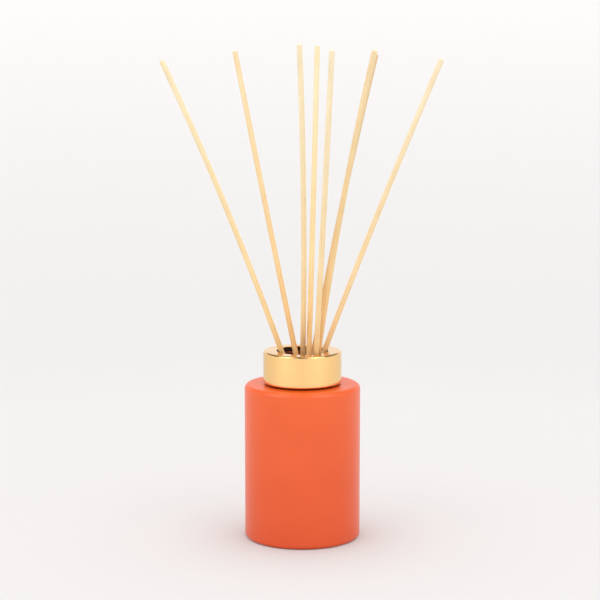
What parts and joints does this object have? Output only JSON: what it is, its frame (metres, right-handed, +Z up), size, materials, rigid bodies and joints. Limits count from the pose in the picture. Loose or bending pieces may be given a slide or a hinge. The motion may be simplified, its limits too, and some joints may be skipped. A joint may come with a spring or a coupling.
{
  "type": "reed diffuser",
  "caption": "Round glass fragrance bottle with a screw collar open at the top, through which thin reeds fan out to draw up and spread its scent.",
  "frame": {"origin": "centre of the bottle's flat base, on the surface it stands on", "axes": "+Z up along the bottle's axis; -Y towards the front"},
  "size_m": [0.1372, 0.106, 0.2471],
  "materials": {
    "coated_glass": "matt orange coating sprayed on glass",
    "gold_metal": "bright gold anodised aluminium",
    "dark_plastic": "moulded, satin",
    "washer_foam": "matt black foam",
    "rattan": "raw peeled rattan, matt"
  },
  "bodies": {
    "bottle": {"glass_bottle": "coated_glass"},
    "washer": {"sealing_washer": "washer_foam"},
    "collar": {"collar_shell": "gold_metal", "threaded_insert": "dark_plastic"},
    "reed_1": {"reed_1": "rattan"},
    "reed_2": {"reed_2": "rattan"},
    "reed_3": {"reed_3": "rattan"},
    "reed_4": {"reed_4": "rattan"},
    "reed_5": {"reed_5": "rattan"},
    "reed_6": {"reed_6": "rattan"},
    "reed_7": {"reed_7": "rattan"},
    "reed_8": {"reed_8": "rattan"}
  },
  "joints": [
    {"name": "collar_rise", "type": "slide", "parent": "bottle", "child": "washer", "axis": [0, 0, 1], "range_m": [0, 0.004]},
    {"name": "collar_turn", "type": "hinge", "parent": "washer", "child": "collar", "pos_m": [0, 0, 0], "axis": [0, 0, 1], "range_deg": [0, 450]},
    {"name": "reed_1_lift", "type": "slide", "parent": "collar", "child": "reed_1", "axis": [-0.33, -0.0584, 0.9422], "range_m": [0, 0.097]},
    {"name": "reed_2_lift", "type": "slide", "parent": "collar", "child": "reed_2", "axis": [-0.2036, 0.1978, 0.9589], "range_m": [0, 0.095]},
    {"name": "reed_3_lift", "type": "slide", "parent": "collar", "child": "reed_3", "axis": [0.0165, -0.2536, 0.9672], "range_m": [0, 0.094]},
    {"name": "reed_4_lift", "type": "slide", "parent": "collar", "child": "reed_4", "axis": [0.0313, 0.2307, 0.9725], "range_m": [0, 0.094]},
    {"name": "reed_5_lift", "type": "slide", "parent": "collar", "child": "reed_5", "axis": [0.0469, -0.2875, 0.9566], "range_m": [0, 0.095]},
    {"name": "reed_6_lift", "type": "slide", "parent": "collar", "child": "reed_6", "axis": [0.1182, -0.2835, 0.9517], "range_m": [0, 0.096]},
    {"name": "reed_7_lift", "type": "slide", "parent": "collar", "child": "reed_7", "axis": [0.1759, 0.287, 0.9416], "range_m": [0, 0.097]},
    {"name": "reed_8_lift", "type": "slide", "parent": "collar", "child": "reed_8", "axis": [0.337, -0.1205, 0.9338], "range_m": [0, 0.098]}
  ],
  "couplings": [
    {"joint": "collar_rise", "follows": "collar_turn", "m_per_rad": 0.0005093}
  ]
}
